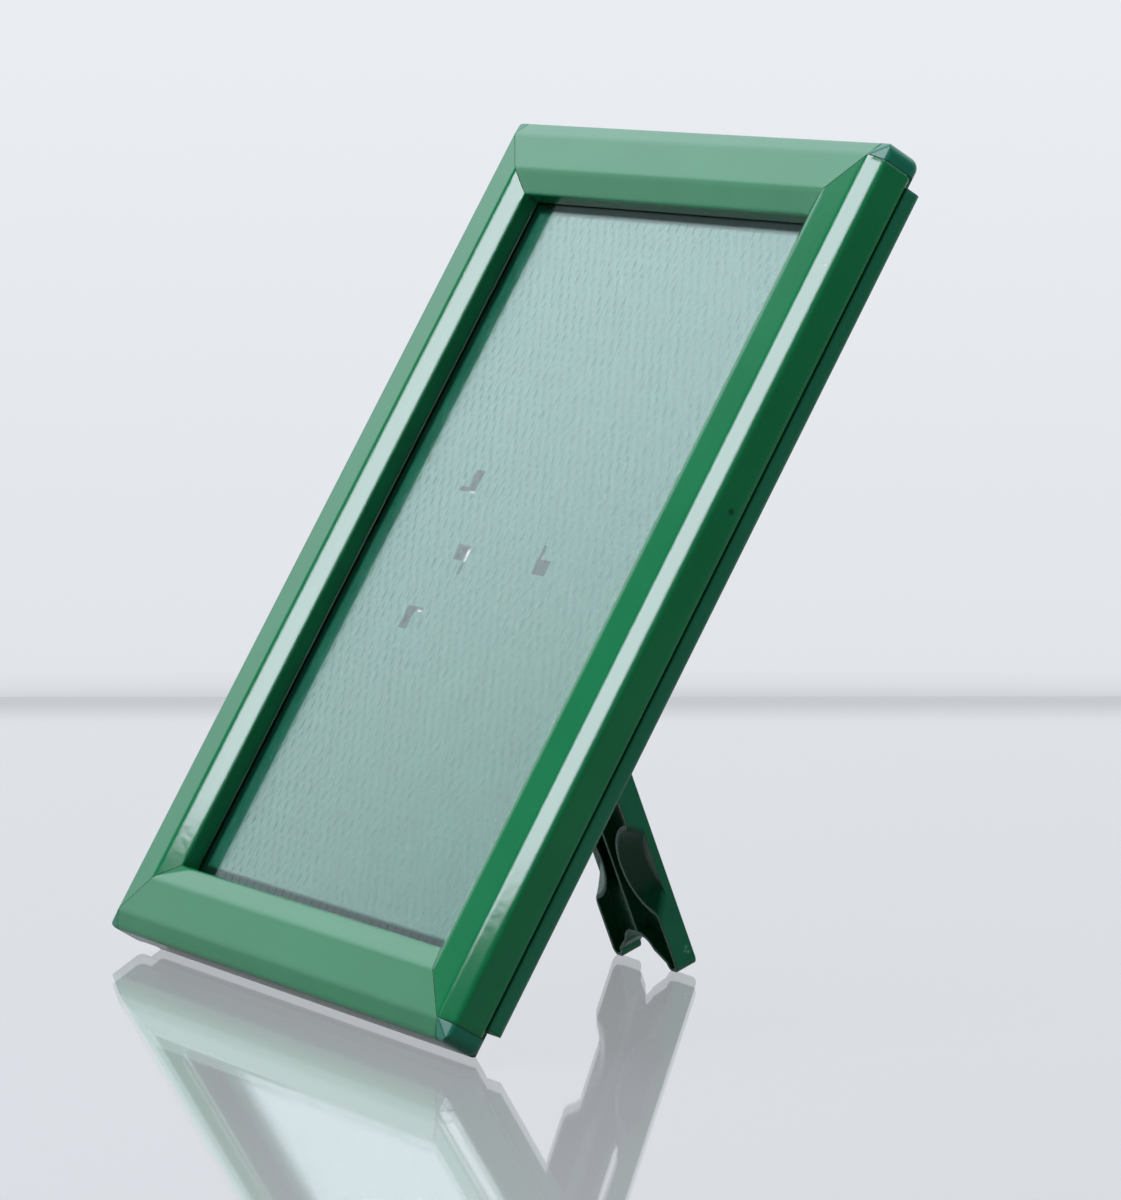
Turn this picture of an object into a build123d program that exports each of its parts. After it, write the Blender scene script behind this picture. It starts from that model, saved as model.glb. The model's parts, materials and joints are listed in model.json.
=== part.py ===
from build123d import *
import math
import os

# A small snap frame for a picture, standing on its easel strut.
# It is drawn lying flat, in millimetres: x runs across the picture, y up it and z out of its
# front. The middle of the picture is at x = 0, y = 0, and the outer edges of the covers'
# faces are at z = 0.
# It is then leaned back and set down, so that +z is up and the table is at z = 0.

# The insert and its stack, which set the size of all the rest
insert_width = 105.0
insert_height = 148.0
insert_corner = 1.0
insert_gap = 0.1
panel_thickness = 2.0
sheet_thickness = 0.5
sheet_gap = 0.05
lip_gap = 0.2

# The frame as a whole
rim_width = 9.0  # from the insert's edge to the frame's outer side
frame_width = insert_width + 2 * rim_width
frame_height = insert_height + 2 * rim_width
lean_angle = 59.0  # from the table up to the picture
overrun = 1.0  # how far cutting tools reach past what they cut

# Snap cover, an extruded profile
rail_width = 14.5
chamfer_run = 3.2
chamfer_drop = 1.8
face_run = 7.3
face_rise = 0.5  # the face slopes up to its inner edge
lip_drop = 1.6
cover_wall = 1.1
lip_wall = 1.0
lip_depth = 4.85
side_round = 1.0
face_round = 2.5
crease_round = 1.8
lip_round = 0.45
mitre_gap = 0.1

# Hinge of a cover: a hook on the cover round a bead on the base rail
pivot_in = 1.25
pivot_depth = 6.75
bead_radius = 0.5
hinge_gap = 0.06
hook_low_angle = 255.0
hook_high_angle = 60.0
swing_gap = 0.1

# Base rail, an extruded profile behind the cover
base_inset = 0.4
base_floor = 1.0
strip_wall = 1.0
upright_in = 3.4
upright_wall = 0.9
upright_drop = 5.0
neck_wall = 0.5
neck_root_drop = 0.35
ledge_wall = 0.7
channel_height = 1.75
base_inner = 14.0
inner_wall = 0.9
stop_rib_wall = 0.8
stop_rib_top_drop = 5.3
base_notch = 5.0
edge_flat = 0.35

# Windows in the back panel for the strut's clips
window_reach = 13.5  # from the middle of a pair to the middle of one window
window_length = 4.4
window_height = 2.9
tail_length = 2.6
tail_width = 0.9
sideways_offset = 21.0  # the pair for the strut turned sideways, left of the middle

# Clips behind the windows that hold the strut's pins
pin_radius = 0.9
pin_gap = 0.06
clip_wall = 0.8
clip_length = 3.4
clip_mouth = 1.5
stem_gap = 0.05

# Strut, a moulded channel
strut_width = 21.8
strut_depth = 4.1
strut_angle = 52.4  # from the panel, opened
fold_gap = 0.1
heel_gap = 0.07
plate_thickness = 1.5
strut_wall = 0.75
head_above = 2.6
head_below = 2.6
rib_wall = 0.7
rib_drop = 0.3
finger_up = 20.3  # from the feet's ends up to the middle of the finger hollow, at the rim
finger_out = 1.1  # from the strut's side out to that middle
finger_radius = 8.3
finger_root_up = 21.2  # the same three at the plate, where the hollow is smaller
finger_root_out = 3.9
finger_root_radius = 6.5
finger_round = 1.5
foot_width = 3.4
notch_flat = 2.6
notch_height = 6.0
foot_round = 1.6
sole = 0.25
eye_offset = 4.3
eye_width = 3.6
eye_length = 12.0
eye_up = 38.0  # from the feet's ends to the middle of an eye

# Leaf springs between the upright wall and the hook
spring_length = 30.0
spring_height = 3.5
spring_thickness = 0.3
spring_bow = 0.42
spring_gap = 0.03

# Corner brackets in the rails' channels
bracket_leg = 26.0
bracket_gap = 0.15
bracket_lift = 0.05
bracket_corner = 1.0

# Corner caps
cap_gap = 0.1
cap_overhang = 0.85  # how far a cap reaches behind the covers' hooks
cap_wall = 1.1
cap_floor = 1.5
cap_ceiling = 0.9
cap_foot_round = 1.9
cap_edge_round = 2.0
cap_crease_round = 0.8
arm_width = 2.6
arm_top_drop = 2.7
arm_bottom_drop = 4.5
leg_in = 6.9
leg_radius = 1.1
peg_radius = 1.0
peg_gap = 0.05
peg_short = 0.1

# Places worked out from the sizes above
sheet_front = -lip_depth - lip_gap
sheet_back = sheet_front - sheet_thickness
panel_front = sheet_back - sheet_gap
panel_back = panel_front - panel_thickness
ledge_top = panel_back
ledge_bottom = ledge_top - ledge_wall
base_floor_top = ledge_bottom - channel_height
frame_depth = base_floor - base_floor_top
strip_top = -pivot_depth - pivot_in - swing_gap
cap_depth = pivot_depth + pivot_in + cap_overhang
channel_outer = upright_in + upright_wall
channel_inner = base_inner - inner_wall
stop_rib_outer = rim_width - insert_gap - stop_rib_wall
hook_bore = bead_radius + hinge_gap
cover_cut = chamfer_run + cap_gap
face_end = chamfer_run + face_run
axis_z = panel_back - strut_depth / 2 - fold_gap
clip_bore = pin_radius + pin_gap
clip_outer = clip_bore + clip_wall


def turned(centre, radius, angle):
    """The point at a radius and an angle from a centre, in the plane of a sketch."""
    bearing = math.radians(angle)
    return (centre[0] + radius * math.cos(bearing), centre[1] + radius * math.sin(bearing))


def patch(low, high):
    """A flat rectangle between two opposite corners."""
    middle = ((low[0] + high[0]) / 2, (low[1] + high[1]) / 2)
    return Pos(*middle) * Rectangle(abs(high[0] - low[0]), abs(high[1] - low[1]))


def block(low, high):
    """A box between two opposite corners."""
    middle = [(a + b) / 2 for a, b in zip(low, high)]
    return Pos(*middle) * Box(*[abs(b - a) for a, b in zip(low, high)])


def upright_prism(outline, bottom, top):
    """A closed outline in x and y, filled and raised from one height to another."""
    floor = Polygon(*outline, align=None)
    return Pos(0, 0, bottom) * extrude(floor, amount=top - bottom, dir=(0, 0, 1))


# Each rail is drawn as the left one, with x inward from its outer side and y along it.
# Each corner is drawn as the bottom left one, with x and y inward from its outer sides.
# The others follow by quarter turns, in this order.
SIDES = ("left", "bottom", "right", "top")
CORNERS = ("bottom_left", "bottom_right", "top_right", "top_left")


def half_spans(turns):
    """Half the frame's size across and along, as a shape sees them after its quarter turns."""
    spans = (frame_width / 2, frame_height / 2)
    return spans if turns % 2 == 0 else spans[::-1]


def rail_length(side):
    return 2 * half_spans(SIDES.index(side))[1]


def at_rail(side, shape):
    turns = SIDES.index(side)
    return Rot(0, 0, 90 * turns) * Pos(-half_spans(turns)[0], 0) * shape


def at_corner(corner, shape):
    turns = CORNERS.index(corner)
    across, along = half_spans(turns)
    return Rot(0, 0, 90 * turns) * Pos(-across, -along) * shape


def rail_plan(length, square_cut, inner_edge):
    """What is left of a rail, seen from the front: square at its outer side, then mitred."""
    square_y = length / 2 - square_cut
    turn_x = square_cut - mitre_gap
    inner_y = length / 2 - inner_edge - mitre_gap
    half = [(0, square_y), (turn_x, square_y), (inner_edge, inner_y)]
    return half + [(x, -y) for x, y in reversed(half)]


def along_rail(section, length):
    return extrude(Plane.XZ * section, amount=length / 2, both=True)


def cover_section():
    """Side wall with its hinge hook, chamfer, flat face, inner bevel and lip."""
    pivot = (pivot_in, -pivot_depth)
    hook_outer = pivot_in
    low_angle, high_angle = hook_low_angle, hook_high_angle
    side_angle = 180
    low_out = turned(pivot, hook_outer, low_angle)
    low_in = turned(pivot, hook_bore, low_angle)
    high_out = turned(pivot, hook_outer, high_angle)
    high_in = turned(pivot, hook_bore, high_angle)
    side_foot = (0, -pivot_depth)
    wall_rise = math.sqrt(hook_outer**2 - (pivot_in - cover_wall) ** 2)
    wall_foot = (cover_wall, -pivot_depth + wall_rise)
    wall_angle = math.degrees(math.atan2(wall_rise, cover_wall - pivot_in))
    outside = FilletPolyline(
        side_foot,
        (0, -chamfer_drop),
        (chamfer_run, 0),
        (face_end, face_rise),
        (rail_width, -lip_drop),
        (rail_width, -lip_depth),
        radius=[side_round, face_round, crease_round, lip_round],
    )
    inside = Polyline(
        (rail_width, -lip_depth),
        (rail_width - lip_wall, -lip_depth),
        (rail_width - lip_wall, -lip_drop - cover_wall),
        (face_end, face_rise - cover_wall),
        (chamfer_run, -cover_wall),
        (cover_wall, -chamfer_drop - cover_wall),
        wall_foot,
    )
    low_arc = ThreePointArc(
        low_out, turned(pivot, hook_outer, (low_angle + side_angle) / 2), side_foot
    )
    bump_arc = ThreePointArc(
        wall_foot, turned(pivot, hook_outer, (wall_angle + high_angle) / 2), high_out
    )
    bore_arc = ThreePointArc(
        high_in, turned(pivot, hook_bore, (low_angle + high_angle) / 2), low_in
    )
    tips = [Line(high_out, high_in), Line(low_in, low_out)]
    return make_face([low_arc, outside, inside, bump_arc, bore_arc] + tips)


def snap_cover(side):
    length = rail_length(side)
    plan = rail_plan(length, cover_cut, rail_width)
    body = along_rail(cover_section(), length)
    return at_rail(side, body & upright_prism(plan, -frame_depth, overrun))


def base_section():
    """Floor, outer strip, upright with its hinge bead, bracket channel, ledge and stop rib."""
    bottom = -frame_depth
    section = patch((base_inset, bottom), (base_inner, base_floor_top))
    section += patch((base_inset, bottom), (base_inset + strip_wall, strip_top))
    section += patch((upright_in, bottom), (channel_outer, -upright_drop))
    section += patch((channel_outer, ledge_bottom), (base_inner, ledge_top))
    section += patch((channel_inner, bottom), (base_inner, ledge_top))
    rib_inner = stop_rib_outer + stop_rib_wall
    section += patch((stop_rib_outer, ledge_bottom), (rib_inner, -stop_rib_top_drop))
    bead = (pivot_in, -pivot_depth)
    root = (upright_in + upright_wall / 2, -upright_drop - neck_root_drop)
    reach = math.hypot(root[0] - bead[0], root[1] - bead[1])
    slope = math.degrees(math.atan2(root[1] - bead[1], root[0] - bead[0]))
    middle = ((bead[0] + root[0]) / 2, (bead[1] + root[1]) / 2)
    section += Pos(*middle) * Rot(0, 0, slope) * Rectangle(reach, neck_wall)
    section += Pos(*bead) * Circle(bead_radius)
    return section - edge_wedge()


def edge_wedge():
    """The rear outer edge, cut level with the table when the frame leans back."""
    rise = edge_flat * math.tan(math.radians(lean_angle))
    corner = (base_inset, -frame_depth)
    return Polygon(
        corner,
        (base_inset + edge_flat, -frame_depth),
        (base_inset, -frame_depth + rise),
        align=None,
    )


def peg_hole(radius):
    """A hole for the peg of a corner cap, through all that lies under it."""
    height = frame_depth
    return Pos(leg_in, leg_in, -height / 2) * Cylinder(radius, height)


def base_rail(side):
    length = rail_length(side)
    plan = rail_plan(length, base_notch, base_inner)
    body = along_rail(base_section(), length) & upright_prism(plan, -frame_depth, 0)
    hole = block(
        (leg_in - peg_radius - peg_gap, leg_in - peg_radius - peg_gap, base_floor_top),
        (leg_in + peg_radius + peg_gap, leg_in + peg_radius + peg_gap, 0),
    )
    cutter = hole & peg_hole(peg_radius + peg_gap)
    for end in (-1, 1):
        place = Pos(0, end * length / 2) * Rot(0, 0, 0 if end < 0 else -90)
        body -= place * cutter
    return at_rail(side, body)


def leaf_spring():
    """A bowed strip that stands in the trough, its ends against the upright wall."""
    back = upright_in - spring_gap
    front = back - spring_thickness
    half = spring_length / 2
    inner = ThreePointArc((back, -half), (back - spring_bow, 0), (back, half))
    outer = ThreePointArc((front, -half), (front - spring_bow, 0), (front, half))
    ends = [Line((back, -half), (front, -half)), Line((back, half), (front, half))]
    strip = make_face([inner, outer] + ends)
    return Pos(0, 0, base_floor_top) * extrude(strip, amount=spring_height)


def leaf_springs(side):
    """Two springs on a long rail and one on a short rail."""
    length = rail_length(side)
    places = (-length / 4, length / 4) if length > frame_width else (0,)
    return [at_rail(side, Pos(0, y) * leaf_spring()) for y in places]


def corner_bracket():
    """A flat steel angle that fills both channels at a corner."""
    outer = channel_outer + bracket_gap
    inner = channel_inner - bracket_gap
    tip = outer + bracket_leg
    outline = [
        (outer + bracket_corner, outer),
        (tip, outer),
        (tip, inner),
        (inner, inner),
        (inner, tip),
        (outer, tip),
        (outer, outer + bracket_corner),
    ]
    plate = upright_prism(outline, base_floor_top + bracket_lift, ledge_bottom - bracket_lift)
    return plate - peg_hole(peg_radius + peg_gap)


def cap_section():
    """The covers' side and chamfer, carried on down to the cap's foot."""
    skin = FilletPolyline(
        (0, -cap_depth), (0, -chamfer_drop), (chamfer_run, 0), radius=side_round
    )
    rest = Polyline((chamfer_run, 0), (chamfer_run, -cap_depth), (0, -cap_depth))
    return make_face([skin, rest])


def cap_plan():
    """The cap seen from the front: a small square with its outer corner rounded."""
    square = patch((0, 0), (chamfer_run, chamfer_run))
    corner = square.vertices().group_by(Axis.X)[0].group_by(Axis.Y)[0]
    return fillet(corner, cap_edge_round)


def is_cap_foot(edge):
    """Whether an edge runs round the outside of the cap's foot."""
    middle = edge.center()
    return middle.Z < overrun - cap_depth and min(middle.X, middle.Y) < chamfer_run / 2 and (
        max(middle.X, middle.Y) < chamfer_run
    )


def is_cap_crease(edge):
    """Whether an edge is where the cap's two chamfers meet."""
    middle = edge.center()
    slant = abs(edge.position_at(0).Z - edge.position_at(1).Z)
    return abs(middle.X - middle.Y) < pin_gap and slant > pin_gap and middle.Z > -chamfer_drop


def cap_block():
    """The outside of a cap: a square post, rounded at its edge, foot and mitre crease."""
    post = Pos(0, 0, -cap_depth) * extrude(cap_plan(), amount=cap_depth, dir=(0, 0, 1))
    post = fillet([edge for edge in post.edges() if is_cap_foot(edge)], cap_foot_round)
    one_way = along_rail(cap_section(), 2 * chamfer_run)
    other_way = Rot(0, 0, -90) * mirror(one_way, about=Plane.YZ)
    post = post & one_way & other_way
    return fillet([edge for edge in post.edges() if is_cap_crease(edge)], cap_crease_round)


def corner_cap():
    """A hollow corner moulded in one piece with the arm, leg and peg that hold it."""
    hollow = block(
        (cap_wall, cap_wall, -cap_depth + cap_floor),
        (chamfer_run + overrun, chamfer_run + overrun, -chamfer_drop - cap_ceiling),
    )
    shell = cap_block() - hollow
    start = (cap_edge_round * (math.sqrt(2) - 1) + cap_wall * math.sqrt(2)) / 2
    finish = leg_in * math.sqrt(2)
    arm = Rot(0, 0, 45) * block(
        (start, -arm_width / 2, -arm_bottom_drop), (finish, arm_width / 2, -arm_top_drop)
    )
    head = Pos(leg_in, leg_in, -(arm_top_drop + arm_bottom_drop) / 2) * Cylinder(
        arm_width / 2, arm_bottom_drop - arm_top_drop
    )
    leg_height = -arm_top_drop - ledge_top
    leg = Pos(leg_in, leg_in, ledge_top + leg_height / 2) * Cylinder(leg_radius, leg_height)
    peg_bottom = base_floor_top + peg_short
    peg_height = ledge_top - peg_bottom
    peg = Pos(leg_in, leg_in, peg_bottom + peg_height / 2) * Cylinder(peg_radius, peg_height)
    corner_space = block((cap_wall / 2, cap_wall / 2, -frame_depth), (frame_width, frame_width, 0))
    return shell + (arm & corner_space) + head + leg + peg


def insert_plate(back, thickness):
    plate = Box(insert_width, insert_height, thickness)
    plate = fillet(plate.edges().filter_by(Axis.Z), insert_corner)
    return Pos(0, 0, back + thickness / 2) * plate


def window():
    """The L-shaped window on the right of a pair: its tail runs up from the inner end."""
    main = patch(
        (window_reach - window_length / 2, -window_height / 2),
        (window_reach + window_length / 2, window_height / 2),
    )
    inner = window_reach - window_length / 2
    return main + patch((inner, 0), (inner + tail_width, window_height / 2 + tail_length))


def clip_section(grip):
    """A C-shaped clip round a pin, in y and z: grip is 1 if it comes from above."""
    window_edge = window_height / 2 + stem_gap
    stem_outer = window_edge + clip_wall
    web_low = axis_z - pin_radius
    shape = Pos(0, axis_z) * Circle(clip_outer)
    shape += patch((0, web_low), (grip * stem_outer, axis_z + pin_radius))
    shape += patch((grip * window_edge, web_low), (grip * stem_outer, panel_back))
    shape -= Pos(0, axis_z) * Circle(clip_bore)
    mouth_far = -grip * (clip_outer + overrun)
    shape -= patch((0, axis_z - clip_mouth / 2), (mouth_far, axis_z + clip_mouth / 2))
    return shape


def clip(grip, side):
    """One clip, standing on the panel's rear face behind its window."""
    section = Plane.YZ * clip_section(grip)
    body = extrude(section, amount=clip_length / 2, both=True)
    return Pos(side * window_reach, 0, 0) * body


def clip_pair():
    """The right clip holds its pin from below and the left one from above."""
    return [clip(-1, 1), clip(1, -1)]


def back_panel():
    """A moulded plate with two pairs of windows and clips, the second pair turned sideways."""
    panel = insert_plate(panel_back, panel_thickness)
    tool = extrude(window(), amount=frame_depth)
    upright_pair = [tool, Rot(0, 0, 180) * tool]
    sideways = Pos(-sideways_offset, 0) * Rot(0, 0, 90)
    lift = Pos(0, 0, -frame_depth)
    for cutter in upright_pair:
        panel -= lift * cutter
        panel -= lift * sideways * cutter
    for holder in clip_pair():
        panel += holder
        panel += sideways * holder
    return panel


def clear_sheet():
    return insert_plate(sheet_back, sheet_thickness)


def strut_reach():
    """From the strut's axis to its feet, so that they stand on the table with the frame."""
    lean = math.radians(lean_angle)
    opened = math.radians(strut_angle)
    rise = edge_flat * math.tan(lean)
    table = height_of(-frame_height / 2 + base_inset, -frame_depth + rise)
    down = height_of(-math.cos(opened), -math.sin(opened))
    out = height_of(-math.sin(opened), math.cos(opened))
    start = height_of(0, axis_z) + out * strut_depth / 2
    return (table - start) / down + sole


def height_of(y, z):
    """How high a point of the flat drawing lies once the frame leans back."""
    lean = math.radians(lean_angle)
    return y * math.sin(lean) + z * math.cos(lean)


def strut_outline():
    """The strut seen from the front, from its feet up: the pins' axis is at y = 0."""
    half = strut_width / 2
    foot = -strut_reach()
    flat = notch_flat / 2
    apex = foot + notch_height
    inner_foot = half - foot_width
    foot_start = (inner_foot, foot + foot_round)
    foot_end = (half, foot + foot_round)
    foot_low = (half - foot_width / 2, foot)
    edges = [Line((0, apex), (flat, apex))]
    notch_middle = ((flat + inner_foot) / 2, (apex + foot_start[1]) / 2)
    edges.append(TangentArc((flat, apex), notch_middle, tangent=(1, 0)))
    edges.append(Line(notch_middle, foot_start))
    edges.append(ThreePointArc(foot_start, foot_low, foot_end))
    top = (half, head_above)
    edges.append(Line(foot_end, top))
    edges.append(Line(top, (0, head_above)))
    right = make_face(edges + [Line((0, head_above), (0, apex))])
    return right + mirror(right, about=Plane.YZ)


def head_section():
    """The strut's head from the side, in y and z: its heel meets the panel when it opens."""
    radius = strut_depth / 2 + fold_gap - heel_gap
    face = strut_depth / 2
    heel_angle = 90 - strut_angle
    back = -strut_depth / 2
    start_angle = math.degrees(math.asin(face / radius))
    shoulder = turned((0, 0), radius, start_angle)
    heel = turned((0, 0), radius, heel_angle)
    run = (head_above - heel[0]) / math.cos(math.radians(heel_angle - 90))
    tip = (head_above, heel[1] + run * math.sin(math.radians(heel_angle - 90)))
    curve = ThreePointArc(shoulder, turned((0, 0), radius, (start_angle + heel_angle) / 2), heel)
    rest = Polyline(heel, tip, (head_above, back), (-head_below, back), (-head_below, face), shoulder)
    return make_face([curve, rest])


def finger_hollows(grown):
    """Round hollows in both sides of the strut's rim, smaller at the plate: grown is extra radius."""
    half = strut_width / 2
    foot = -strut_reach()
    height = strut_depth - plate_thickness
    reach = (height + overrun) / height
    root = (half + finger_root_out, foot + finger_root_up, finger_root_radius)
    rim = (half + finger_out, foot + finger_up, finger_radius)
    top = [low + (high - low) * reach for low, high in zip(root, rim)]
    low_circle = Pos(root[0], root[1]) * Circle(root[2] + grown)
    high_circle = Pos(top[0], top[1], height + overrun) * Circle(top[2] + grown)
    right = loft([low_circle, high_circle])
    return [right, mirror(right, about=Plane.YZ)]


def strut_rim():
    """The wall that stands on the plate's edge and turns in round both finger hollows."""
    outline = strut_outline()
    height = strut_depth - plate_thickness
    outer = extrude(outline, amount=height)
    inner = extrude(offset(outline, -strut_wall), amount=height + overrun)
    for hollow in finger_hollows(0):
        outer -= hollow
    for hollow in finger_hollows(strut_wall):
        inner -= hollow
    corners = [edge for edge in outer.edges() if is_finger_corner(edge, height)]
    return fillet(corners, finger_round) - inner


def is_finger_corner(edge, height):
    """Whether an edge is one of the four where a finger hollow meets the strut's side."""
    middle = edge.center()
    foot = -strut_reach()
    near = abs(middle.Y - foot - finger_up) < finger_radius + finger_round
    at_side = abs(abs(middle.X) - strut_width / 2) < pin_gap
    return near and at_side and pin_gap < middle.Z < height - pin_gap


def strut():
    """Plate, rim, centre rib, two eyes, head and pins; drawn folded, at its axis."""
    back = -strut_depth / 2
    front = strut_depth / 2
    foot = -strut_reach()
    plate = Pos(0, 0, back) * extrude(strut_outline(), amount=plate_thickness)
    rib_bottom = foot + notch_height + strut_wall / 2
    rib = block((-rib_wall / 2, rib_bottom, back), (rib_wall / 2, 0, front - rib_drop))
    body = plate + Pos(0, 0, back + plate_thickness) * strut_rim() + rib
    eye = SlotOverall(eye_length, eye_width, rotation=90)
    for side in (-1, 1):
        place = Pos(side * eye_offset, foot + eye_up, back - overrun)
        body -= place * extrude(eye, amount=plate_thickness + 2 * overrun)
    above = block(
        (-strut_width, -head_below, back - overrun), (strut_width, head_above + overrun, front + overrun)
    )
    body -= above
    head = extrude(Plane.YZ * head_section(), amount=strut_width / 2, both=True)
    pin_length = 2 * window_reach + clip_length
    pins = Rot(0, 90, 0) * Cylinder(pin_radius, pin_length)
    return body + head + pins


def opened_strut():
    return Pos(0, 0, axis_z) * Rot(strut_angle, 0, 0) * strut()


def table_height():
    """The height, in the leaned drawing, of the level flat on the bottom rail's rear edge."""
    rise = edge_flat * math.tan(math.radians(lean_angle))
    return height_of(-frame_height / 2 + base_inset, -frame_depth + rise)


def lean(shape):
    return Rot(lean_angle, 0, 0) * shape


def below_table():
    """All that lies under the table, to level the soles of the strut's feet."""
    size = 2 * frame_height
    return Pos(0, 0, table_height() - size / 2) * Box(size, size, size)


def all_parts():
    parts = {}
    for side in SIDES:
        parts["base_rail_" + side] = lean(base_rail(side))
        parts["snap_cover_" + side] = lean(snap_cover(side))
        springs = [lean(spring) for spring in leaf_springs(side)]
        parts["leaf_springs_" + side] = springs[0] if len(springs) == 1 else Compound(springs)
    for corner in CORNERS:
        parts["corner_bracket_" + corner] = lean(at_corner(corner, corner_bracket()))
        parts["corner_cap_" + corner] = lean(at_corner(corner, corner_cap()))
    parts["back_panel"] = lean(back_panel())
    parts["clear_sheet"] = lean(clear_sheet())
    parts["strut"] = lean(opened_strut()) - below_table()
    return parts


def set_down(parts):
    """Bring the middle of the footprint to x = 0, y = 0 and the table to z = 0."""
    boxes = [shape.bounding_box() for shape in parts.values()]
    front = min(box.min.Y for box in boxes)
    rear = max(box.max.Y for box in boxes)
    shift = Pos(0, -(front + rear) / 2, -table_height())
    return {name: shift * shape for name, shape in parts.items()}, shift


def print_joints(shift):
    """Where the hinge lines lie on the finished frame, in metres."""
    turn = shift * Rot(lean_angle, 0, 0)
    side = frame_width / 2 - pivot_in
    end = frame_height / 2 - pivot_in
    rise = edge_flat * math.tan(math.radians(lean_angle))
    places = {
        "left": (-side, 0, -pivot_depth),
        "right": (side, 0, -pivot_depth),
        "top": (0, end, -pivot_depth),
        "bottom": (0, -end, -pivot_depth),
        "strut": (0, 0, axis_z),
        "table flat": (0, base_inset + edge_flat / 2 - frame_height / 2, rise / 2 - frame_depth),
    }
    for name, place in places.items():
        point = (turn * Pos(*place)).position
        print(name, [round(value / 1000, 6) for value in point])


def main():
    os.makedirs("parts", exist_ok=True)
    parts, shift = set_down(all_parts())
    for name, shape in parts.items():
        export_step(shape, os.path.join("parts", name + ".step"))
    print_joints(shift)


main()
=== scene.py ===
import json
import math

import bpy
from mathutils import Matrix, Vector


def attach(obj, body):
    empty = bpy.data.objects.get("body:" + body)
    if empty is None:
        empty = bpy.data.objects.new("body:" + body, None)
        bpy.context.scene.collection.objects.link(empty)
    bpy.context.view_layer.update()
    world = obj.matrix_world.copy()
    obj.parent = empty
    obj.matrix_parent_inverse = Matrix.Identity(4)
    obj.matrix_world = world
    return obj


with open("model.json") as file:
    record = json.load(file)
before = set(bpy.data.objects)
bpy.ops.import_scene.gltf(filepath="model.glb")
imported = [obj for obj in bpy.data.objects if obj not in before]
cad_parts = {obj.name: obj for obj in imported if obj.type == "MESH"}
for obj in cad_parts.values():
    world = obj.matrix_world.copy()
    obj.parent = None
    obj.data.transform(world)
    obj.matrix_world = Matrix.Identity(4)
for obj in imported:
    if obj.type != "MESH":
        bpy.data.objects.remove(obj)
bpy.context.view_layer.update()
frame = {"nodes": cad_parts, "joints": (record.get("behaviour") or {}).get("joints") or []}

# ------------------------------------------------------------------ the leaning picture plane
# Places on the frame are written as on the flat drawing: x across the picture, y up it and
# z out of its front, in millimetres from the middle of the picture.
MM = 0.001
LEAN = math.radians(59.0)  # the picture's slope, up from the table
LEFT_HINGE_DRAWN = (-60.25, 0.0, -6.75)


def hinge_place(name):
    """Where a hinge stands in the scene."""
    for joint in frame["joints"]:
        if joint["name"] == name:
            return Vector(joint["pos_m"])


TURN = Matrix.Rotation(LEAN, 4, "X")
SHIFT = hinge_place("left_cover_hinge") - TURN @ (MM * Vector(LEFT_HINGE_DRAWN))
TO_WORLD = Matrix.Translation(SHIFT) @ TURN


def on_frame(x, y, z):
    """A point of the flat drawing, where it stands in the scene, in metres."""
    return TO_WORLD @ (MM * Vector((x, y, z)))


def way_on_frame(x, y, z):
    """A direction of the flat drawing, as it points in the scene."""
    return TURN.to_3x3() @ Vector((x, y, z))


# ------------------------------------------------------------------ camera
CAMERA_PLACE = on_frame(818.618, -152.042, 452.417)
CAMERA_TURN = (83.2145, 0.0345, 59.4793)  # in degrees
CAMERA_LENS = 165.10
CAMERA_SENSOR = 36.0
CAMERA_NEAR = 0.01


def add_camera():
    """The camera, placed on the flat drawing and turned in the scene."""
    data = bpy.data.cameras.new("camera")
    data.sensor_width = CAMERA_SENSOR
    data.lens = CAMERA_LENS
    data.clip_start = CAMERA_NEAR
    camera = bpy.data.objects.new("camera", data)
    camera.location = CAMERA_PLACE
    camera.rotation_euler = [math.radians(angle) for angle in CAMERA_TURN]
    bpy.context.scene.collection.objects.link(camera)
    bpy.context.scene.camera = camera


add_camera()


# ------------------------------------------------------------------ writing node trees
def add(tree, kind, values=None, **settings):
    """One node: settings are its own options, values go to its sockets, or are links to them."""
    node = tree.nodes.new(kind)
    for key, value in settings.items():
        setattr(node, key, value)
    for key, value in (values or {}).items():
        socket = node.inputs[key]
        if isinstance(value, bpy.types.NodeSocket):
            tree.links.new(value, socket)
        else:
            socket.default_value = value
    return node


def reckon(tree, operation, *values):
    """A Math node's result."""
    numbered = {index: value for index, value in enumerate(values)}
    return add(tree, "ShaderNodeMath", numbered, operation=operation).outputs[0]


def product(tree, *values):
    """All the values multiplied together."""
    total = values[0]
    for value in values[1:]:
        total = reckon(tree, "MULTIPLY", total, value)
    return total


def dot(tree, vector, way):
    """How far a vector reaches along a direction."""
    sockets = {0: vector, 1: way}
    return add(tree, "ShaderNodeVectorMath", sockets, operation="DOT_PRODUCT").outputs["Value"]


def slide(tree, value, low, high, start=0.0, end=1.0, smooth=True):
    """A value mapped from low..high to start..end, and held outside them."""
    kind = "SMOOTHSTEP" if smooth else "LINEAR"
    sockets = {
        "Value": value, "From Min": low, "From Max": high, "To Min": start, "To Max": end,
    }
    node = add(tree, "ShaderNodeMapRange", sockets, interpolation_type=kind)
    return node.outputs["Result"]


def between(tree, value, borders):
    """1 between two soft borders and 0 outside them."""
    lower, upper = borders
    return product(tree, slide(tree, value, *lower), slide(tree, value, *upper, 1.0, 0.0))


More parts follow.
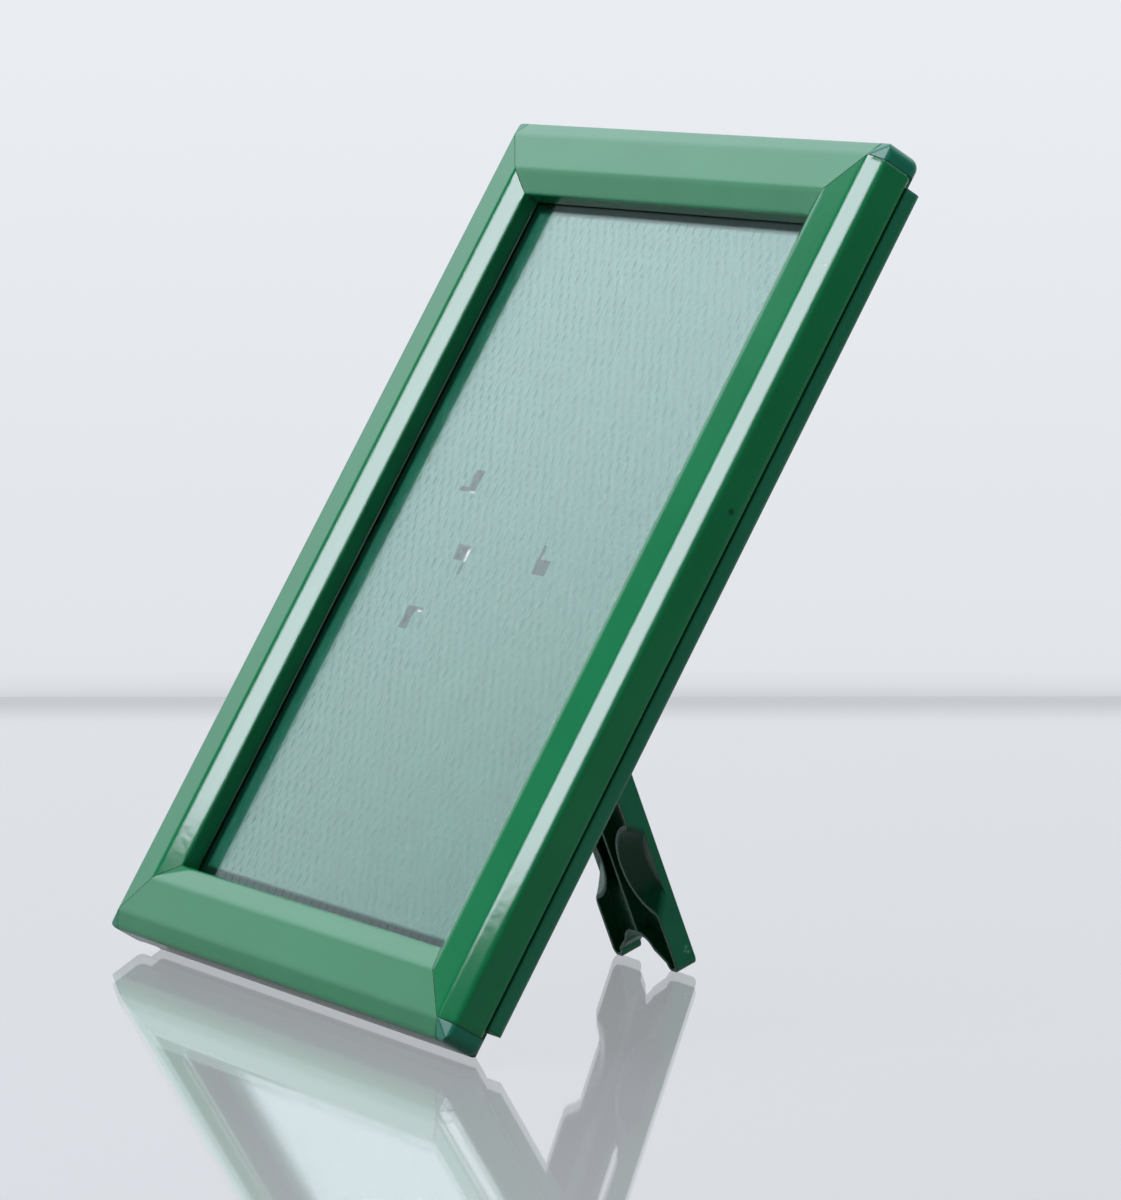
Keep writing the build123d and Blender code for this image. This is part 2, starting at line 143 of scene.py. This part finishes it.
def mixed(tree, amount, first, second):
    """A colour or direction between two others."""
    node = add(tree, "ShaderNodeMix", {"Factor": amount}, data_type="RGBA")
    for socket, value in ((node.inputs[6], first), (node.inputs[7], second)):
        if isinstance(value, bpy.types.NodeSocket):
            tree.links.new(value, socket)
        else:
            socket.default_value = (*value, 1.0)
    return node.outputs[2]


def noise(tree, coords, cells_per_metre, detail=2.0, roughness=0.5):
    """Even, soft noise about a half."""
    sockets = {
        "Vector": coords, "Scale": cells_per_metre, "Detail": detail, "Roughness": roughness,
    }
    return add(tree, "ShaderNodeTexNoise", sockets).outputs[0]


def clouds(tree, coords, cells_per_metre, detail=3.0, low=0.3, high=0.7):
    """Noise spread out to patches of 0 and 1 with soft borders."""
    return slide(tree, noise(tree, coords, cells_per_metre, detail), low, high)


def bump(tree, height, depth_mm, strength=1.0, normal=None):
    """Relief too fine to be modelled."""
    sockets = {"Height": height, "Distance": depth_mm * MM, "Strength": strength}
    if normal is not None:
        sockets["Normal"] = normal
    return add(tree, "ShaderNodeBump", sockets).outputs[0]


def new_finish(name):
    """An empty material with its output, and the surface's own coordinates."""
    material = bpy.data.materials.new(name)
    material.use_nodes = True
    tree = material.node_tree
    tree.nodes.clear()
    output = add(tree, "ShaderNodeOutputMaterial")
    coords = add(tree, "ShaderNodeTexCoord").outputs["Object"]
    return material, tree, output, coords


def show(tree, output, shader):
    """Puts a shader on the surface."""
    tree.links.new(shader.outputs[0], output.inputs["Surface"])


def show_both(tree, output, share, first, second):
    """Puts two shaders on the surface, and the second one has the given share."""
    sockets = {0: share, 1: first.outputs[0], 2: second.outputs[0]}
    show(tree, output, add(tree, "ShaderNodeMixShader", sockets))


# ------------------------------------------------------------------ places on the surface
OPENING = (47.0, 68.5)  # half the width and height between the covers' lips, in mm
MITRE_ZONE = (1.0, 2.2)  # where it begins to fade and where it ends, in mm beside the joint
SAWN_FACING = 0.985  # how squarely a sawn face looks along a diagonal, at least
BEVEL_SAMPLES = 6


def near(tree, coords, place, radius_mm, soft_mm):
    """1 near a point of the object and 0 away from it."""
    sockets = {0: coords, 1: tuple(place)}
    far = add(tree, "ShaderNodeVectorMath", sockets, operation="DISTANCE").outputs["Value"]
    return slide(tree, far, (radius_mm - soft_mm) * MM, (radius_mm + soft_mm) * MM, 1.0, 0.0)


def bare_ends(tree):
    """1 on faces that a mitre saw cut, which look along the picture's diagonals."""
    normal = add(tree, "ShaderNodeNewGeometry").outputs["True Normal"]
    found = None
    for across, up in ((1, 1), (1, -1)):
        diagonal = way_on_frame(across, up, 0).normalized()
        facing = reckon(tree, "ABSOLUTE", dot(tree, normal, tuple(diagonal)))
        cut = reckon(tree, "GREATER_THAN", facing, SAWN_FACING)
        found = cut if found is None else reckon(tree, "MAXIMUM", found, cut)
    return found


def edge_line(tree, radius_mm, low, high):
    """1 along sharp edges, found from how far a rounded edge's normal turns."""
    sockets = {"Radius": radius_mm * MM}
    rounded = add(tree, "ShaderNodeBevel", sockets, samples=BEVEL_SAMPLES).outputs[0]
    flat = add(tree, "ShaderNodeNewGeometry").outputs["True Normal"]
    return slide(tree, dot(tree, rounded, flat), low, high, 1.0, 0.0), rounded


def across_and_up(tree, coords):
    """How far a point lies from the picture's middle, across it and up it."""
    sockets = {0: coords, 1: tuple(on_frame(0, 0, 0))}
    offset = add(tree, "ShaderNodeVectorMath", sockets, operation="SUBTRACT").outputs[0]
    found = []
    for axis in ((1, 0, 0), (0, 1, 0)):
        away = dot(tree, offset, tuple(way_on_frame(*axis)))
        found.append(reckon(tree, "ABSOLUTE", away))
    return found


def mitre_zone(tree, coords):
    """1 beside the mitre joints, where the coating isn't rounded over to the next profile."""
    across, up = across_and_up(tree, coords)
    longer = (OPENING[1] - OPENING[0]) * MM
    apart = reckon(tree, "SUBTRACT", reckon(tree, "SUBTRACT", up, across), longer)
    start, end = MITRE_ZONE
    return slide(tree, reckon(tree, "ABSOLUTE", apart), start * MM, end * MM, 1.0, 0.0)


# ------------------------------------------------------------------ gloss coating
COAT_ROUND = 1.0  # how far the paint's thickness softens an edge, in mm
COAT_CLOUDS = 55.0  # in cells per metre, as all noise is
ORANGE_PEEL = 620.0
PEEL_ROUGHNESS = 0.45
PEEL_DEPTH = 0.016  # in mm
PEEL_STRENGTH = 0.35
COATING_FAULTS = (
    # place on the flat drawing, radius and softness in mm, tone
    ((61.5, 15.6, -5.3), 0.5, 0.45, (0.008, 0.06, 0.028)),  # chip on the right cover's side
    ((60.4, 59.4, -0.96), 0.22, 0.1, (0.45, 0.6, 0.55)),  # speck on its chamfer
)
SAW_MARKS = 2600.0
SAWN_DARK = (0.20, 0.21, 0.18)
SAWN_LIGHT = (0.36, 0.37, 0.32)
SAWN_ROUGHNESS = 0.4


def gloss_coating(name, thin, thick, roughness):
    """Green paint on the aluminium profiles, missing at the sawn ends."""
    material, tree, output, coords = new_finish(name)
    paint = mixed(tree, clouds(tree, coords, COAT_CLOUDS), thin, thick)
    for place, radius, softness, tone in COATING_FAULTS:
        fault = near(tree, coords, on_frame(*place), radius, softness)
        paint = mixed(tree, fault, paint, tone)
    sawn = bare_ends(tree)
    metal = mixed(tree, clouds(tree, coords, SAW_MARKS, detail=2.0), SAWN_DARK, SAWN_LIGHT)
    peel = noise(tree, coords, ORANGE_PEEL, roughness=PEEL_ROUGHNESS)
    rounding = {"Radius": COAT_ROUND * MM}
    soft = add(tree, "ShaderNodeBevel", rounding, samples=BEVEL_SAMPLES).outputs[0]
    true = add(tree, "ShaderNodeNewGeometry").outputs["Normal"]
    shape = mixed(tree, mitre_zone(tree, coords), soft, true)
    sockets = {
        "Base Color": mixed(tree, sawn, paint, metal),
        "Roughness": slide(tree, sawn, 0.0, 1.0, roughness, SAWN_ROUGHNESS),
        "IOR": 1.5,
        "Normal": bump(tree, peel, PEEL_DEPTH, PEEL_STRENGTH, shape),
    }
    show(tree, output, add(tree, "ShaderNodeBsdfPrincipled", sockets))
    return material


cover_coating = gloss_coating(
    "cover_gloss_coating",
    thin=(0.0085, 0.200, 0.068), thick=(0.0105, 0.214, 0.074), roughness=0.085,
)
rail_coating = gloss_coating(
    "base_rail_coating",
    thin=(0.012, 0.175, 0.082), thick=(0.014, 0.19, 0.09), roughness=0.26,
)

# ------------------------------------------------------------------ moulded plastic
FLOW_CLOUDS = 140.0
MOULD_GRAIN = 2400.0
GRAIN_STRENGTH = 0.5
EDGE_ROUND = 0.22  # in mm
# how alike a rounded edge's normal and the face's are where the painted highlight line on the
# edge is full, and where it ends
EDGE_LIKENESS = (0.80, 0.985)
EDGE_HIGHLIGHT_SHARE = 0.55
PLASTIC_PLAY = (-0.04, 0.05)  # how far its roughness wanders
FOOT_SPOT_TONE = (0.10, 0.42, 0.20)
FOOT_SPOT_SOFTNESS = 0.6  # share of the radius
STRUT_FOOT_SPOTS = (
    # lighter green spots on the foot that stands to the viewer's right: place in the scene,
    # radius in mm
    ((0.0109, 0.03015, 0.00455), 0.3),
    ((0.0109, 0.03060, 0.00365), 0.3),
    ((0.0109, 0.02995, 0.00385), 0.22),
)


def moulded_plastic(name, colour, lighter, edge, roughness, grain_mm, pale_spots=()):
    """Moulded plastic with soft edges, faint flow clouds and a fine grain, and a pale highlight
    painted along its sharp edges.
    """
    material, tree, output, coords = new_finish(name)
    flow = clouds(tree, coords, FLOW_CLOUDS, low=0.35)
    body = mixed(tree, flow, colour, lighter)
    edge_highlight, rounded = edge_line(tree, EDGE_ROUND, *EDGE_LIKENESS)
    # painted highlight: a paler colour laid along the sharp edges
    body = mixed(tree, product(tree, edge_highlight, EDGE_HIGHLIGHT_SHARE), body, edge)
    # lighter green spots at the listed places
    for place, radius in pale_spots:
        pale_spot = near(tree, coords, place, radius, radius * FOOT_SPOT_SOFTNESS)
        body = mixed(tree, pale_spot, body, FOOT_SPOT_TONE)
    grain = noise(tree, coords, MOULD_GRAIN)
    glossier, duller = PLASTIC_PLAY
    sockets = {
        "Base Color": body,
        "Roughness": slide(tree, flow, 0.0, 1.0, roughness + glossier, roughness + duller),
        "IOR": 1.5,
        "Normal": bump(tree, grain, grain_mm, GRAIN_STRENGTH, rounded),
    }
    show(tree, output, add(tree, "ShaderNodeBsdfPrincipled", sockets))
    return material


# edge is the colour of the painted highlight along each piece's sharp edges
cap_plastic = moulded_plastic(
    "cap_plastic",
    colour=(0.009, 0.18, 0.105), lighter=(0.012, 0.205, 0.12), edge=(0.03, 0.26, 0.18),
    roughness=0.3, grain_mm=0.002,
)
strut_plastic = moulded_plastic(
    "strut_plastic",
    colour=(0.006, 0.168, 0.076), lighter=(0.009, 0.19, 0.09), edge=(0.035, 0.2, 0.13),
    roughness=0.24, grain_mm=0.003, pale_spots=STRUT_FOOT_SPOTS,
)
panel_plastic = moulded_plastic(
    "panel_plastic",
    colour=(0.006, 0.082, 0.046), lighter=(0.008, 0.094, 0.054), edge=(0.02, 0.13, 0.09),
    roughness=0.2, grain_mm=0.003,
)

# ------------------------------------------------------------------ rolled steel
ROLLING = (90.0, 1400.0, 1400.0)  # cells per metre along the scratches and across them
SCRATCH_DEPTH = 0.004  # in mm
SCRATCH_STRENGTH = 0.5
STEEL_PLAY = (-0.06, 0.08)


def rolled_steel(name, dark, light, roughness):
    """Bare sheet steel with the long scratches of rolling."""
    material, tree, output, coords = new_finish(name)
    stretched = add(tree, "ShaderNodeMapping", {"Vector": coords, "Scale": ROLLING})
    lines = clouds(tree, stretched.outputs[0], 1.0)
    glossier, duller = STEEL_PLAY
    sockets = {
        "Base Color": mixed(tree, lines, dark, light),
        "Metallic": 1.0,
        "Roughness": slide(tree, lines, 0.0, 1.0, roughness + glossier, roughness + duller),
        "Normal": bump(tree, lines, SCRATCH_DEPTH, SCRATCH_STRENGTH),
    }
    show(tree, output, add(tree, "ShaderNodeBsdfPrincipled", sockets))
    return material


zinc_steel = rolled_steel(
    "zinc_steel", dark=(0.42, 0.43, 0.44), light=(0.62, 0.63, 0.64), roughness=0.34
)
spring_steel = rolled_steel(
    "spring_steel", dark=(0.28, 0.29, 0.31), light=(0.46, 0.47, 0.5), roughness=0.24
)

# ------------------------------------------------------------------ clear sheet
FILM_TINT = (0.97, 0.99, 0.985)
FILM_ROUGHNESS = 0.1
FILM_SPECKLE = 1900.0
SPECKLE_ROUGHNESS = 0.6
SPECKLE_STRENGTH = 0.6
LIP_SHADE_BORDERS = ((-2.5, -1.5), (0.2, 0.8))  # its inner and outer one, in mm outwards from the lips
# painted shade: this dark tone stands for the shadowed gap between the covers' lips and the
# sheet
LIP_SHADE_TONE = (0.12, 0.2, 0.19)
LIGHT_THROUGH = (0.9, 0.93, 0.92, 1.0)


def lip_gap_shade(tree, coords):
    """1 along a band about 2 mm wide at the covers' lips, where the sheet is painted darker as
    painted shade for the gap under the lips.
    """
    within = []
    for low, high in LIP_SHADE_BORDERS:
        sides = []
        for away, half in zip(across_and_up(tree, coords), OPENING):
            sides.append(slide(tree, away, (half + low) * MM, (half + high) * MM, 1.0, 0.0))
        within.append(product(tree, *sides))
    inner, outer = within
    return product(tree, outer, reckon(tree, "SUBTRACT", 1.0, inner))


def clear_film(name, speckle_mm):
    """Clear plastic that lets the lamps' light through to what lies under it, with painted shade
    along the covers' lips.
    """
    material, tree, output, coords = new_finish(name)
    fine = noise(tree, coords, FILM_SPECKLE, roughness=SPECKLE_ROUGHNESS)
    sockets = {
        # painted shade: the sheet is darkened along the covers' lips, for the gap under them
        "Base Color": mixed(tree, lip_gap_shade(tree, coords), FILM_TINT, LIP_SHADE_TONE),
        "Roughness": FILM_ROUGHNESS,
        "IOR": 1.56,
        "Transmission Weight": 1.0,
        "Normal": bump(tree, fine, speckle_mm, SPECKLE_STRENGTH),
    }
    shader = add(tree, "ShaderNodeBsdfPrincipled", sockets)
    open_way = add(tree, "ShaderNodeBsdfTransparent", {"Color": LIGHT_THROUGH})
    shadow = add(tree, "ShaderNodeLightPath").outputs["Is Shadow Ray"]
    show_both(tree, output, shadow, shader, open_way)
    return material


sheet_film = clear_film("embossed_sheet", speckle_mm=0.006)
dash_film = clear_film("embossed_dashes", speckle_mm=0.003)

# ------------------------------------------------------------------ a finish for each piece
FINISHES = (
    ("base_rail", rail_coating),
    ("snap_cover", cover_coating),
    ("corner_cap", cap_plastic),
    ("corner_bracket", zinc_steel),
    ("leaf_springs", spring_steel),
    ("back_panel", panel_plastic),
    ("clear_sheet", sheet_film),
    ("strut", strut_plastic),
)
for name, node in frame["nodes"].items():
    for start, finish in FINISHES:
        if name.startswith(start):
            for slot in node.material_slots:
                slot.material = finish

# ------------------------------------------------------------------ embossing of the clear sheet
# All in millimetres: the embossed part of the sheet, and its front face on the flat drawing.
SHEET_WIDTH = 104.0
SHEET_HEIGHT = 147.0
SHEET_FRONT = -5.05
EMBOSSING = (
    # name, length, width and height of a dash, and its place across and up in the pattern
    ("Long dash", 2.1, 0.2, 0.018, 0.0, 0.0),
    ("Short dash", 1.2, 0.2, 0.018, 1.35, 1.9),
)
COLUMN_PITCH = 2.7
ROW_PITCH = 3.8
DASH_LIFT = 0.012
DASH_BALL = {"Segments": 8, "Rings": 4, "Radius": 0.5}
DASH_SMALLEST = 0.86  # share of the full size
DASH_LARGEST = 1.08


def embossing_tree():
    """Rows of small raised dashes, long and short in turn, laid out from their pitches."""
    tree = bpy.data.node_groups.new("sheet_embossing", "GeometryNodeTree")
    face = tree.interface
    face.new_socket("Geometry", in_out="OUTPUT", socket_type="NodeSocketGeometry")
    face.new_socket("Geometry", in_out="INPUT", socket_type="NodeSocketGeometry")
    names = ["Sheet width", "Sheet height", "Column pitch", "Row pitch", "Lift"]
    for dash in EMBOSSING:
        names += [dash[0] + word for word in (" length", " width", " height", " across", " up")]
    for name in names:
        face.new_socket(name, in_out="INPUT", socket_type="NodeSocketFloat")
    given = add(tree, "NodeGroupInput").outputs
    joined = add(tree, "GeometryNodeJoinGeometry")
    for seed, dash in enumerate(EMBOSSING):
        tree.links.new(dash_rows(tree, given, dash[0], seed), joined.inputs[0])
    real = add(tree, "GeometryNodeRealizeInstances", {"Geometry": joined.outputs[0]})
    smooth = add(tree, "GeometryNodeSetShadeSmooth", {"Geometry": real.outputs[0]})
    sockets = {"Geometry": smooth.outputs[0], "Material": dash_film}
    clad = add(tree, "GeometryNodeSetMaterial", sockets)
    out = add(tree, "NodeGroupOutput")
    tree.links.new(clad.outputs[0], out.inputs[0])
    return tree


def dash_rows(tree, given, label, seed):
    """One kind of dash, a flattened half ball, at every point of its grid."""
    counts = []
    spans = []
    for size, pitch in (("Sheet width", "Column pitch"), ("Sheet height", "Row pitch")):
        fitting = reckon(tree, "FLOOR", reckon(tree, "DIVIDE", given[size], given[pitch]))
        steps = reckon(tree, "SUBTRACT", fitting, 1.0)
        counts.append(reckon(tree, "ADD", steps, 1.0))
        spans.append(product(tree, steps, given[pitch]))
    layout = {
        "Size X": spans[0], "Size Y": spans[1], "Vertices X": counts[0], "Vertices Y": counts[1],
    }
    grid = add(tree, "GeometryNodeMeshGrid", layout)
    ball = add(tree, "GeometryNodeMeshUVSphere", DASH_BALL)
    thickness = product(tree, given[label + " height"], 2.0)
    sizes = {0: given[label + " width"], 1: given[label + " length"], 2: thickness}
    scale = add(tree, "ShaderNodeCombineXYZ", sizes).outputs[0]
    lens = add(tree, "GeometryNodeTransform", {"Geometry": ball.outputs[0], "Scale": scale})
    place = add(tree, "GeometryNodeInputPosition").outputs[0]
    x, y, z = add(tree, "ShaderNodeSeparateXYZ", {0: place}).outputs
    above = {0: x, 1: y, 2: reckon(tree, "MAXIMUM", z, 0.0)}
    flat = add(tree, "ShaderNodeCombineXYZ", above).outputs[0]
    cut = {"Geometry": lens.outputs[0], "Position": flat}
    pillow = add(tree, "GeometryNodeSetPosition", cut).outputs[0]
    limits = {2: DASH_SMALLEST, 3: DASH_LARGEST, "Seed": seed}
    size = add(tree, "FunctionNodeRandomValue", limits, data_type="FLOAT").outputs[1]
    stamp = {"Points": grid.outputs[0], "Instance": pillow, "Scale": size}
    stamped = add(tree, "GeometryNodeInstanceOnPoints", stamp).outputs[0]
    offset = {0: given[label + " across"], 1: given[label + " up"], 2: given["Lift"]}
    moved = add(tree, "ShaderNodeCombineXYZ", offset).outputs[0]
    laid = add(tree, "GeometryNodeTransform", {"Geometry": stamped, "Translation": moved})
    return laid.outputs[0]


def plain_mesh(name, tree, values):
    """The mesh that a node tree makes from its named inputs."""
    carrier = bpy.data.objects.new(name + "_maker", bpy.data.meshes.new(name + "_maker"))
    bpy.context.scene.collection.objects.link(carrier)
    modifier = carrier.modifiers.new("maker", "NODES")
    modifier.node_group = tree
    for item in tree.interface.items_tree:
        if item.name in values:
            modifier[item.identifier] = values[item.name]
    graph = bpy.context.evaluated_depsgraph_get()
    mesh = bpy.data.meshes.new_from_object(carrier.evaluated_get(graph))
    carrier.modifiers.remove(modifier)
    bpy.data.objects.remove(carrier)
    mesh.name = name
    return mesh


def add_embossing():
    """The relief on the clear sheet's front, which stays with the frame."""
    values = {
        "Sheet width": SHEET_WIDTH * MM,
        "Sheet height": SHEET_HEIGHT * MM,
        "Column pitch": COLUMN_PITCH * MM,
        "Row pitch": ROW_PITCH * MM,
        "Lift": (SHEET_FRONT + DASH_LIFT) * MM,
    }
    for name, length, width, height, across, up in EMBOSSING:
        values[name + " length"] = length * MM
        values[name + " width"] = width * MM
        values[name + " height"] = height * MM
        values[name + " across"] = (across - COLUMN_PITCH / 4) * MM
        values[name + " up"] = (up - ROW_PITCH / 4) * MM
    mesh = plain_mesh("sheet_embossing", embossing_tree(), values)
    mesh.transform(TO_WORLD)
    piece = bpy.data.objects.new("sheet_embossing", mesh)
    bpy.context.scene.collection.objects.link(piece)
    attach(piece, "frame")


add_embossing()

# ------------------------------------------------------------------ glass table
# Distances over the table are in metres from the object's middle, away from the camera.
FORWARD = Vector((-0.8615, 0.5077, 0.0))
TABLE_REACH = 3.0  # in front and to both sides
TABLE_REAR = 0.3625
TABLE_GLASS = 0.0009  # thickness
BASE_OVERRUN = 0.0066  # so that both faces end on the same line in the picture
REAR_FADE = 0.046
REAR_SHADE = 0.76
TABLE_PAINT = (0.08, 0.083, 0.088)
TABLE_GLOW = 0.645
PALE = (0.968, 1.0, 1.055)
GLOW_IN_GLOSS = 0.3  # how much of the table's glow shows in glossy things
FRONT_IN_GLOSS = 0.04  # the same for the table in front, which they see less of
FRONT_FADE = (-0.36, -0.19)
GLASS_IOR = 1.38
BLACK = (0.0, 0.0, 0.0)
WHITE = (1.0, 1.0, 1.0)
TOP_ROUGHNESS = 0.03
BASE_ROUGHNESS = 0.035


def table_plane(name, height, rear, material):
    """One face of the table, as wide as the picture needs, up to its rear edge."""
    side = Vector((-FORWARD.y, FORWARD.x, 0.0))
    corners = []
    for along, across in ((-1, -1), (-1, 1), (1, 1), (1, -1)):
        far = rear if along > 0 else -TABLE_REACH
        corners.append(FORWARD * far + side * across * TABLE_REACH + Vector((0, 0, height)))
    mesh = bpy.data.meshes.new(name)
    mesh.from_pydata(corners, [], [(0, 1, 2, 3)])
    mesh.materials.append(material)
    mesh.update()
    if mesh.polygons[0].normal.z < 0:
        mesh.flip_normals()
    plane = bpy.data.objects.new(name, mesh)
    bpy.context.scene.collection.objects.link(plane)


def along_table(tree, coords):
    """How far a point of the table lies from the object's middle, away from the camera."""
    return dot(tree, coords, tuple(FORWARD))


def rear_tone(tree, coords):
    """A tone that falls off softly towards the table's rear edge."""
    start = TABLE_REAR - REAR_FADE
    return slide(tree, along_table(tree, coords), start, TABLE_REAR, 1.0, REAR_SHADE)


def mirror_image(tree, light, roughness):
    """What a face of the glass mirrors, in the table's tone."""
    sockets = {"Color": mixed(tree, light, BLACK, WHITE), "Roughness": roughness}
    return add(tree, "ShaderNodeBsdfGlossy", sockets)


def mirrored_share(tree):
    """More at a flat angle, as glass does."""
    return add(tree, "ShaderNodeFresnel", {"IOR": GLASS_IOR}).outputs[0]


def table_top():
    """The upper face of the glass: it mirrors a little and lets the rest through."""
    material, tree, output, coords = new_finish("table_glass")
    mirror = mirror_image(tree, rear_tone(tree, coords), TOP_ROUGHNESS)
    clear = add(tree, "ShaderNodeBsdfTransparent")
    glossy = add(tree, "ShaderNodeLightPath").outputs["Is Glossy Ray"]
    share = product(tree, mirrored_share(tree), reckon(tree, "SUBTRACT", 1.0, glossy))
    show_both(tree, output, share, clear, mirror)
    return material


def table_base():
    """The lower face: pale, with a second and fainter mirror image."""
    material, tree, output, coords = new_finish("table_white")
    light = rear_tone(tree, coords)
    paint = mixed(tree, light, BLACK, TABLE_PAINT)
    painted = add(tree, "ShaderNodeBsdfDiffuse", {"Color": paint})
    ray = add(tree, "ShaderNodeLightPath").outputs
    gloss_share = slide(
        tree, along_table(tree, coords), *FRONT_FADE, FRONT_IN_GLOSS, GLOW_IN_GLOSS
    )
    glossy = product(tree, ray["Is Glossy Ray"], gloss_share)
    seen = reckon(tree, "MAXIMUM", ray["Is Camera Ray"], glossy)
    seen = reckon(tree, "MAXIMUM", seen, ray["Is Transmission Ray"])
    strength = product(tree, light, TABLE_GLOW, seen)
    glow = add(tree, "ShaderNodeEmission", {"Color": (*PALE, 1.0), "Strength": strength})
    pale = add(tree, "ShaderNodeAddShader", {0: painted.outputs[0], 1: glow.outputs[0]})
    mirror = mirror_image(tree, light, BASE_ROUGHNESS)
    show_both(tree, output, mirrored_share(tree), pale, mirror)
    return material


table_plane("table_glass", 0.0, TABLE_REAR, table_top())
table_plane("table_base", -TABLE_GLASS, TABLE_REAR + BASE_OVERRUN, table_base())

# ------------------------------------------------------------------ studio
# Directions are in degrees, round the studio from the scene's -X, with the front above 0,
# and up from the horizon. A soft border is given by the angles where it begins and ends.
WALL_BORDERS = ((-115.0, -85.0), (20.5, 30.0))
WALL_SHADE_SPAN = (-18.0, 19.0)
WALL_SHADES = (0.67, 1.08)  # from its rear part to its front part
# how bright the white studio wall is by height
WALL_LEVELS = (
    (-12, 0.80), (0, 0.80), (10, 0.76), (14, 0.96), (17.5, 1.23), (21, 1.47), (25, 1.76),
    (30, 2.0), (60, 1.8),
)
# how bright the table's far side and the low end of the wall are, further to the front
LOW_BORDERS = ((19.0, 24.0), (45.0, 70.0))
LOW_LEVELS = (
    (-12, 0.80), (0, 1.0), (8, 1.1), (14, 1.15), (17, 1.15), (20, 0.75), (23, 0.12), (26, 0.0),
)
ROOM_REACH = 90.0  # the levels' tables cover this height above the horizon and below it
LEVEL_TOP = 2.0
WALL_COLOUR = (0.87, 1.0, 1.07)
ROOM_LEVEL = 0.08
# what the camera and the table see behind the table, by height
BACKDROP_BORDERS = ((-48.0, -42.0), (-24.0, -19.0))
BACKDROP_TOP = (15.0, 20.0)
BACKDROP_REACH = 20.0
BACKDROP_LEVELS = (
    (-9.0, 0.61), (-7.79, 0.62), (-7.68, 0.72), (-7.55, 0.78), (-6.0, 0.80), (-1.0, 0.85),
    (4.0, 0.88), (8.0, 0.80), (14.0, 0.745),
)
BACKDROP_COLOUR = (0.965, 0.992, 1.042)


def by_height(tree, height, levels, reach, top):
    """A level read off a table of heights, which lie within the reach, and up to its top."""
    at = slide(tree, height, -reach, reach, smooth=False)
    ramp = add(tree, "ShaderNodeValToRGB", {0: at})
    points = ramp.color_ramp.elements
    while len(points) < len(levels):
        points.new(0.5)
    for point, (angle, level) in zip(points, levels):
        point.position = (angle + reach) / (2 * reach)
        point.color = (level / top, level / top, level / top, 1.0)
    return product(tree, ramp.outputs[0], top)


def studio_world():
    """A white wall to the left and behind, a dim room elsewhere."""
    world = bpy.data.worlds.new("studio")
    bpy.context.scene.world = world
    world.use_nodes = True
    tree = world.node_tree
    tree.nodes.clear()
    way = add(tree, "ShaderNodeTexCoord").outputs["Generated"]
    x, y, z = add(tree, "ShaderNodeSeparateXYZ", {0: way}).outputs
    height = reckon(tree, "DEGREES", reckon(tree, "ARCSINE", z))
    left, front = product(tree, x, -1.0), product(tree, y, -1.0)
    side = reckon(tree, "DEGREES", reckon(tree, "ARCTAN2", front, left))
    shade = slide(tree, side, *WALL_SHADE_SPAN, *WALL_SHADES, smooth=False)
    level = by_height(tree, height, WALL_LEVELS, ROOM_REACH, LEVEL_TOP)
    upper = product(tree, between(tree, side, WALL_BORDERS), shade, level)
    level = by_height(tree, height, LOW_LEVELS, ROOM_REACH, LEVEL_TOP)
    lower = product(tree, between(tree, side, LOW_BORDERS), level)
    lit = reckon(tree, "ADD", reckon(tree, "MAXIMUM", upper, lower), ROOM_LEVEL)
    around = add(tree, "ShaderNodeBackground", {"Color": (*WALL_COLOUR, 1.0), "Strength": lit})
    level = by_height(tree, height, BACKDROP_LEVELS, BACKDROP_REACH, 1.0)
    sockets = {"Color": (*BACKDROP_COLOUR, 1.0), "Strength": level}
    behind = add(tree, "ShaderNodeBackground", sockets)
    below = slide(tree, height, *BACKDROP_TOP, 1.0, 0.0)
    ahead = product(tree, between(tree, side, BACKDROP_BORDERS), below)
    camera = add(tree, "ShaderNodeLightPath").outputs["Is Camera Ray"]
    shown = reckon(tree, "MAXIMUM", camera, ahead)
    output = add(tree, "ShaderNodeOutputWorld")
    show_both(tree, output, shown, around, behind)


studio_world()

LAMPS = (
    # name, way from the frame, distance, roll in degrees, width and height in metres, level,
    # colour, whether it shows in gloss
    ("softbox", (-0.03, -0.72, 0.69), 0.8, 6.0, (0.40, 0.32), 12.2, (1.0, 1.0, 1.14), True),
    ("side_light", (0.78, 0.45, 0.42), 0.8, 0.0, (0.30, 0.30), 6.5, (1.0, 1.0, 1.05), False),
)


def add_lamps():
    """Area lamps that look at the picture's middle."""
    middle = on_frame(0, 0, 0)
    for name, way, away, roll, size, level, colour, in_gloss in LAMPS:
        data = bpy.data.lights.new(name, "AREA")
        data.shape = "RECTANGLE"
        data.size, data.size_y = size
        data.energy = level * math.pi * size[0] * size[1]
        data.color = colour
        lamp = bpy.data.objects.new(name, data)
        lamp.visible_glossy = in_gloss
        lamp.location = middle + Vector(way).normalized() * away
        turn = (middle - lamp.location).to_track_quat("-Z", "Y").to_matrix()
        lamp.rotation_euler = (turn @ Matrix.Rotation(math.radians(roll), 3, "Z")).to_euler()
        bpy.context.scene.collection.objects.link(lamp)


add_lamps()

bpy.context.scene.view_settings.view_transform = "Standard"
